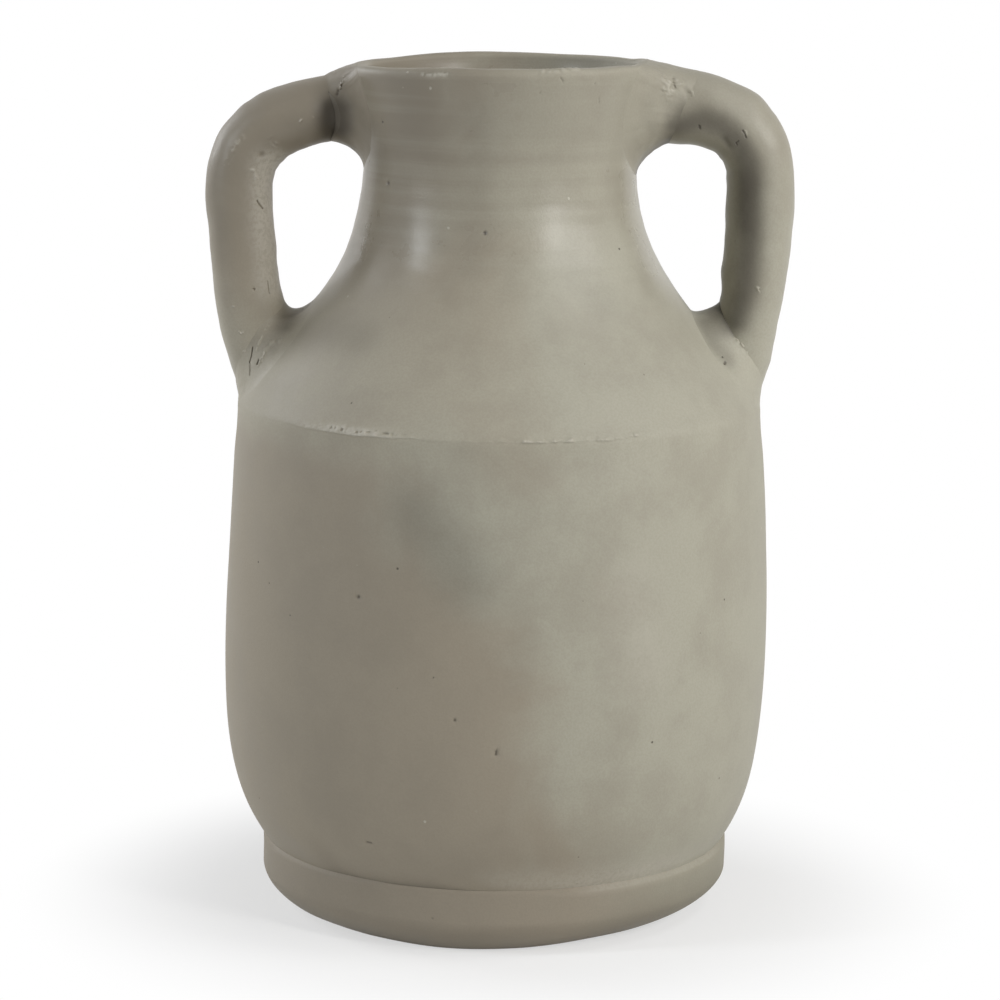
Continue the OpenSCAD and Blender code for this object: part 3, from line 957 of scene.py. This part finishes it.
# Root wads
# Soft clay pressed by thumb round each end of the handles, and smeared out over the handle and the wall.
# Each is a little different: folded and cracked at the lower left, a thick lobe at the lower right.
wad_sides = 220
wad_rings = 34
wad_bite = 0.2 * mm
toe_sink = 0.12


def on_wall(place):
    """The nearest place on the drum, bead or neck, and the way out of the wall there."""
    hits = [tree.find_nearest(place) for tree in wall_trees]
    best = min(hits, key=lambda hit: hit[3])
    return best[0], best[1]


def round_share(sizes, angle):
    """A size that changes smoothly round a handle: outer side, back, gap side, front."""
    turn = (angle % math.tau) / math.tau * 4
    low = int(turn) % 4
    return sizes[low] + (sizes[(low + 1) % 4] - sizes[low]) * ease(0, 1, turn - int(turn))


def pressed_wad(arm, at_neck, spread, climb, grip, feather, lumps, seed):
    """One wad: a skirt of clay from the handle on to the wall, hollow where its two ends pull inward."""
    toward = -1 if at_neck else 1
    end = neck_end if at_neck else shoulder_end
    smears = {}

    def smear(angle):
        key = round(angle, 6)
        if key not in smears:
            s = meeting(arm, angle, end)
            corner = handle_point(arm, angle, s)
            way = handle_line(arm, s)[1]
            high = round_share(climb, angle) * mm
            wide = round_share(spread, angle) * mm
            top = handle_point(arm, angle, s - toward * high / way.length, -wad_bite)
            away = handle_point(arm, angle, s, 1 * mm) - corner
            flat = sided(arm, on_wall(sided(arm, corner))[1])
            over_wall = (away - flat * away.dot(flat)).normalized()
            toe, out = on_wall(sided(arm, corner + over_wall * wide))
            toe = sided(arm, toe - out * toe_sink * mm)
            out = sided(arm, out)
            deep = corner - away.normalized() * 1.5 * mm + way.normalized() * toward * 1.5 * mm
            along_wall = corner - toe
            along_wall -= out * along_wall.dot(out)
            pull = round_share(grip, angle)
            leaving = top + pull * (corner - top if pull > 0 else corner - toe)
            pull = round_share(feather, angle)
            arriving = toe + pull * (along_wall if pull > 0 else corner - top)
            smears[key] = (top, leaving, arriving, toe, deep)
        return smears[key]

    def across(t):
        def place(angle):
            top, leaving, arriving, toe, deep = smear(angle)
            return bend(top, leaving, arriving, toe, t)

        return place

    def buried(angle):
        return smear(angle)[4]

    rings = [across(count / wad_rings) for count in range(wad_rings + 1)] + [buried]
    bm, first, last = drawn_rings(arm, rings, wad_sides)
    bmesh.ops.bridge_loops(bm, edges=first + last)
    bmesh.ops.recalc_face_normals(bm, faces=bm.faces)
    bm.normal_update()
    number = bm.verts.layers.float["ring"]
    for vert in bm.verts:
        # Lumpy in the middle, and never sunk into the wall there
        inside = max(0, math.sin(math.pi * vert[number] / wad_rings))
        lump = 0.6 * noise.noise(vert.co / (8 * mm) + Vector((seed, 0, 0)))
        lump += 0.25 * noise.noise(vert.co / (3 * mm) + Vector((0, seed, 0)))
        vert.co += vert.normal * lumps * lump * inside * mm
        if 0 < vert[number] < wad_rings:
            near, out = on_wall(vert.co)
            buried_by = (0.5 * inside - toe_sink) * mm - (vert.co - near).dot(out)
            vert.co += out * max(0, min(3 * mm, buried_by))
    forget_rings(bm)
    return bm


wad_clay = fired_clay("wad_clay", warm_clay, cool_clay, 0.5, 0.1)

left_neck_bm = pressed_wad(
    left_arm,
    at_neck=True,
    spread=(8, 8, 13, 15),
    climb=(11, 9, 13.5, 10),
    grip=(0.1, 0.6, 0.05, 0.75),
    feather=(-0.85, 0.6, 0.7, 0.85),
    lumps=0.6,
    seed=31,
)
score(
    left_neck_bm,
    [
        # The thumb hollow runs on into the wad, darkened with painted shade
        ([(-58.4, -18.0, 287.5), (-57.4, -18.0, 278.0)], 0.4, 6.2, -1.0),
        # Raised scratched ridges, partly pale scuffs and partly a painted highlight
        (
            [(-57.0, -10.0, 295.0), (-55.4, -9.4, 297.6), (-54.2, -9.0, 299.4), (-52.8, -8.6, 301.0)],
            -0.4,
            0.7,
            1.0,
        ),
        ([(-55.6, -9.4, 295.6), (-54.4, -9.0, 297.6), (-53.2, -8.8, 299.0)], -0.3, 0.5, 0.8),
        ([(-56.2, -9.8, 296.0), (-54.8, -9.2, 298.2)], 0.4, 0.4, -0.5),
        ([(-58.0, -10.6, 293.8), (-57.4, -10.2, 295.6)], 0.4, 0.5, -0.5),
    ],
)
sag(left_neck_bm)
fired("left_neck_clay", left_neck_bm, wad_clay, "left_neck_wad")

left_shoulder_bm = pressed_wad(
    left_arm,
    at_neck=False,
    spread=(3, 14, 18, 13),
    climb=(9, 14, 13.2, 15),
    grip=(0.4, 0.6, 0.6, 0.5),
    feather=(0.5, 0.5, 0.62, 0.5),
    lumps=0.6,
    seed=41,
)
score(
    left_shoulder_bm,
    [
        # Painted shade under the left handle's root
        ([(-75.4, -9.6, 214.4), (-76.2, -12.0, 210.6)], 0.4, 5.4, -0.6),
        ([(-88.0, -13.0, 206.0), (-80.0, -16.0, 203.0)], 0, 6.0, -0.42),
        ([(-88.0, -14.3, 203.4), (-88.1, -14.4, 200.0), (-88.7, -14.5, 198.2)], 0.5, 0.22, -0.75),
        ([(-88.7, -14.5, 198.2), (-88.2, -14.9, 197.0), (-88.3, -16.2, 193.6)], 0.5, 0.22, -0.75),
        (
            [(-84.9, -17.5, 197.5), (-84.0, -17.5, 198.9), (-83.3, -17.4, 199.6), (-82.6, -17.2, 201.5)],
            -0.5,
            0.6,
            1.0,
        ),
        ([(-85.6, -16.9, 197.6), (-85.3, -16.9, 199.2)], 0.5, 0.3, -0.9),
        (
            [(-86.0, -14.9, 202.5), (-85.3, -14.8, 205.4), (-84.2, -14.6, 207.9), (-82.0, -14.2, 211.6)],
            -0.3,
            0.4,
            0.9,
        ),
        ([(-83.0, -16.2, 202.0), (-80.6, -16.0, 205.2), (-77.6, -17.0, 206.5)], -0.5, 0.9, 0.3),
    ],
)
sag(left_shoulder_bm)
fired("left_shoulder_clay", left_shoulder_bm, wad_clay, "left_shoulder_wad")

right_neck_bm = pressed_wad(
    right_arm,
    at_neck=True,
    spread=(7, 9, 13, 19),
    climb=(20, 14, 13.5, 19),
    grip=(0.1, 0.6, 0.38, 0.5),
    feather=(-0.1, 0.6, 0.45, 0.75),
    lumps=0.8,
    seed=51,
)
score(
    right_neck_bm,
    [
        right_handle_painted_shade,
        ([(61.2, -12.1, 298.2), (62.6, -12.0, 297.8)], -0.8, 1.2, 0.6),
        ([(56.6, -14.8, 297.6), (58.2, -14.2, 294.2)], -0.4, 2.4, 0.55),
        ([(57.6, -14.2, 299.0), (59.8, -13.4, 296.4)], -0.3, 1.6, 0.55),
        ([(59.7, -12.3, 299.0), (60.2, -12.8, 297.4), (60.6, -13.0, 296.6)], 0.35, 0.4, -0.5),
        ([(55.5, -14.8, 299.5), (56.4, -14.6, 299.1)], 0.25, 0.35, -0.4),
        ([(55.9, -15.7, 295.0), (57.0, -15.2, 294.6)], 0.2, 0.35, -0.35),
        ([(64.4, -12.4, 296.8), (66.4, -12.6, 293.6), (66.0, -13.0, 290.0)], 0.3, 0.8, -0.2),
        ([(66.8, -12.0, 295.4), (68.4, -12.6, 292.6), (68.0, -13.0, 290.4)], -0.6, 0.8, 0.6),
        ([(49.0, -14.6, 291.0), (51.8, -14.4, 285.6)], 0.25, 0.5, -0.4),
    ],
)
sag(right_neck_bm)
fired("right_neck_clay", right_neck_bm, wad_clay, "right_neck_wad")

right_shoulder_bm = pressed_wad(
    right_arm,
    at_neck=False,
    spread=(3, 12, 13, 14),
    climb=(9, 14, 15, 11),
    grip=(0.4, 0.6, 0.15, 0.3),
    feather=(0.5, 0.5, 0.25, 0.4),
    lumps=0.4,
    seed=61,
)
score(
    right_shoulder_bm,
    [
        right_handle_painted_shade,
        # Painted shade on the pad, where it faces away from the lamps and into the corner
        ([(72.0, -12.0, 214.0), (75.5, -19.0, 206.0), (80.0, -19.0, 201.0)], 0, 5.5, -0.5),
        ([(79.2, -5.1, 219.1), (82.2, -10.9, 214.8), (85.7, -13.1, 210.5)], 0.7, 1.4, -0.6),
        ([(85.7, -13.1, 210.5), (87.8, -13.1, 207.4), (89.8, -12.9, 204.8)], 0.4, 0.5, -0.8),
        ([(84.6, -14.4, 208.6), (86.6, -14.2, 206.0), (89.0, -13.8, 203.6)], -0.5, 0.8, 0.7),
        ([(79.7, -22.5, 200.3), (80.6, -22.0, 201.4)], 0.4, 0.4, -0.6),
    ],
)
sag(right_shoulder_bm)
fired("right_shoulder_clay", right_shoulder_bm, wad_clay, "right_shoulder_wad")

# Studio
# A pale floor, soft lamps to the right, to the left and overhead, and a camera a little above the lip.
# Past the vase's own shadow the floor fades to a plain white.
shadow_r = 0.085
white_r = 0.18
least_white = 0.55
sky_light = 0.09
lamp_aim = Vector((0, 0, 0.16))
lamp_distance = 2.0
scene = bpy.context.scene
scene.view_settings.view_transform = "Standard"


def seen_directly(tree):
    """1 for what the camera sees, straight, mirrored or through a surface, and 0 for what only lights."""
    ray = shader_node(tree, "ShaderNodeLightPath", {}).outputs
    seen = ray["Is Camera Ray"]
    for kind in ("Is Glossy Ray", "Is Transmission Ray"):
        seen = shader_node(tree, "ShaderNodeMath", {0: seen, 1: ray[kind]}, operation="MAXIMUM").outputs[0]
    return seen


floor_mesh_bm = bmesh.new()
bmesh.ops.create_grid(floor_mesh_bm, x_segments=8, y_segments=8, size=12)
floor_mesh = bpy.data.meshes.new("studio_floor")
floor_mesh_bm.to_mesh(floor_mesh)
floor_mesh_bm.free()
paper = bpy.data.materials.new("white_paper")
paper.use_nodes = True
paper_tree = paper.node_tree
paper_tree.nodes.remove(paper_tree.nodes["Principled BSDF"])
spot = shader_node(paper_tree, "ShaderNodeTexCoord", {}).outputs["Object"]
distance = shader_node(paper_tree, "ShaderNodeVectorMath", {0: spot}, operation="LENGTH").outputs["Value"]
fade_values = {"Value": distance, "From Min": shadow_r, "From Max": white_r, "To Min": least_white}
fading = shader_node(paper_tree, "ShaderNodeMapRange", fade_values, interpolation_type="SMOOTHSTEP")
matt = shader_node(paper_tree, "ShaderNodeBsdfDiffuse", {"Color": (0.9, 0.9, 0.9, 1)}).outputs[0]
glow = shader_node(paper_tree, "ShaderNodeEmission", {"Strength": 1}).outputs[0]
dull = shader_node(paper_tree, "ShaderNodeBsdfDiffuse", {"Color": (0.8, 0.8, 0.79, 1)}).outputs[0]
near_far_values = {0: fading.outputs["Result"], 1: matt, 2: glow}
near_far = shader_node(paper_tree, "ShaderNodeMixShader", near_far_values).outputs[0]
seen_or_lit = {0: seen_directly(paper_tree), 1: dull, 2: near_far}
shown = shader_node(paper_tree, "ShaderNodeMixShader", seen_or_lit).outputs[0]
paper_tree.links.new(shown, paper_tree.nodes["Material Output"].inputs["Surface"])
floor_mesh.materials.append(paper)
studio_floor = bpy.data.objects.new("studio_floor", floor_mesh)
scene.collection.objects.link(studio_floor)

world = bpy.data.worlds.new("studio_air")
scene.world = world
world.use_nodes = True
air = world.node_tree
sky = air.nodes["Background"]
sky.inputs["Color"].default_value = (1, 1, 1, 1)
sky_values = {"Value": seen_directly(air), "To Min": sky_light, "To Max": 1}
sky_level = shader_node(air, "ShaderNodeMapRange", sky_values).outputs["Result"]
air.links.new(sky_level, sky.inputs["Strength"])


def lamp(name, bearing, elevation, width, height, level, colour):
    """A soft lamp that faces the vase, by its direction, its size and the light that it gives there."""
    data = bpy.data.lights.new(name, "AREA")
    data.shape = "RECTANGLE"
    data.size = width
    data.size_y = height
    data.energy = level * math.pi**2 * lamp_distance**2
    data.color = colour
    lamp_object = bpy.data.objects.new(name, data)
    turn = math.radians(bearing)
    rise = math.radians(elevation)
    way = Vector((math.sin(turn) * math.cos(rise), -math.cos(turn) * math.cos(rise), math.sin(rise)))
    lamp_object.location = lamp_aim + way * lamp_distance
    lamp_object.rotation_euler = (-way).to_track_quat("-Z", "Y").to_euler()
    scene.collection.objects.link(lamp_object)


lamp("front_window", 45, 24, 0.3, 0.8, 0.38, (1.0, 0.99, 0.97))
lamp("right_window", 62, 26, 0.6, 0.8, 0.18, (1.0, 0.99, 0.97))
lamp("right_door", 77, 28, 0.4, 0.7, 0.12, (1.0, 0.99, 0.97))
lamp("right_skylight", 72, 56, 0.6, 0.6, 0.16, (1.0, 1.0, 1.0))
lamp("left_window", -67, 24, 0.2, 0.8, 0.31, (0.92, 0.96, 1.0))
lamp("left_wall", -122, 22, 0.9, 0.8, 0.32, (0.97, 0.98, 1.0))

camera_place = Vector((0, -1.2790, 0.3808))
camera_tilt = math.radians(90 - 10.383)
camera_roll = math.radians(0.6)
camera_data = bpy.data.cameras.new("camera")
camera_data.lens = 129.16
camera_data.sensor_width = 36
camera_data.shift_x = 0.00278
camera = bpy.data.objects.new("camera", camera_data)
camera_turn = Matrix.Rotation(camera_tilt, 4, "X") @ Matrix.Rotation(camera_roll, 4, "Z")
camera.matrix_world = Matrix.Translation(camera_place) @ camera_turn
scene.collection.objects.link(camera)
scene.camera = camera
